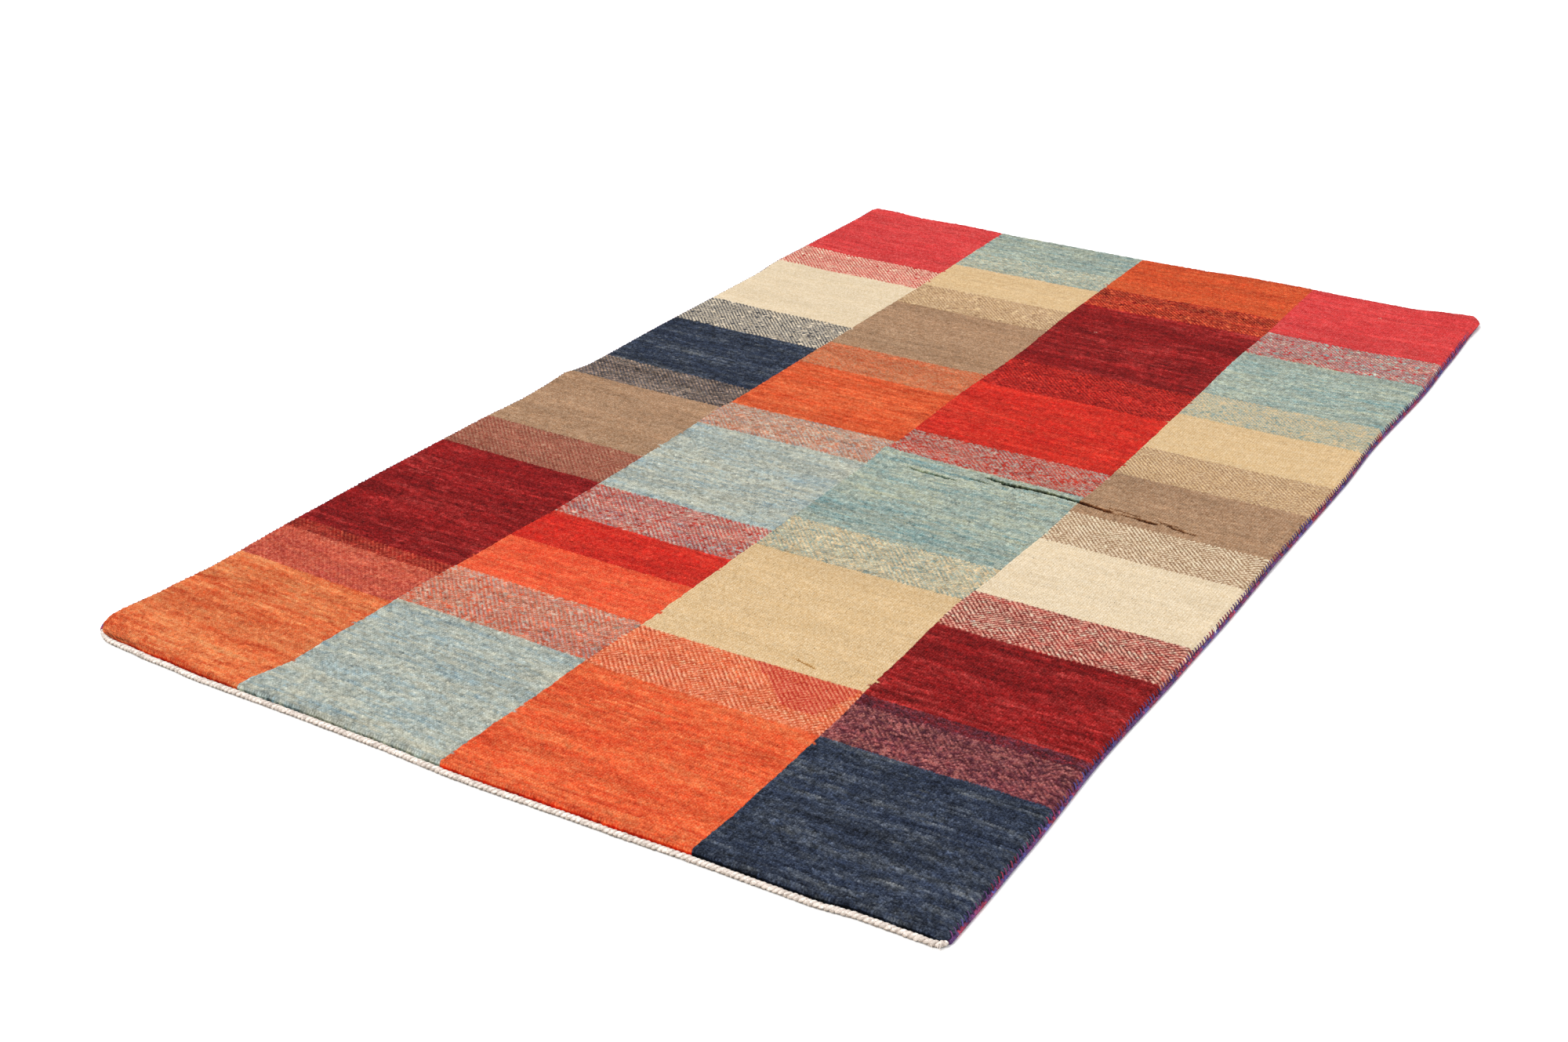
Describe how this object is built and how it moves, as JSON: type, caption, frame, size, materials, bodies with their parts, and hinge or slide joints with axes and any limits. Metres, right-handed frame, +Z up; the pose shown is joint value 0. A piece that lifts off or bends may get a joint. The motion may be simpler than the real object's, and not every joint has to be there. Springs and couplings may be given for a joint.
{
  "type": "hand-knotted wool rug",
  "caption": "Flat rectangular hand-knotted wool pile rug in rows of plain colour blocks, with overcast sides and twisted cotton ends; lies on a floor.",
  "frame": {"origin": "on the floor, at the centre of the rug's box", "axes": "+X across the rug, +Y along it from the near end to the far end, +Z up out of the pile"},
  "size_m": [0.8676, 1.4705, 0.0143],
  "materials": {
    "wool_pile": "clipped wool pile, matte with a slight lustre",
    "overcast_wool": "wrapped wool yarn, variegated purple, indigo and crimson",
    "white_cotton": "twisted undyed cotton"
  },
  "bodies": {
    "root": {"field": "wool_pile", "selvedge_left": "overcast_wool", "selvedge_right": "overcast_wool", "end_cord_near": "white_cotton", "end_cord_far": "white_cotton"}
  },
  "joints": []
}
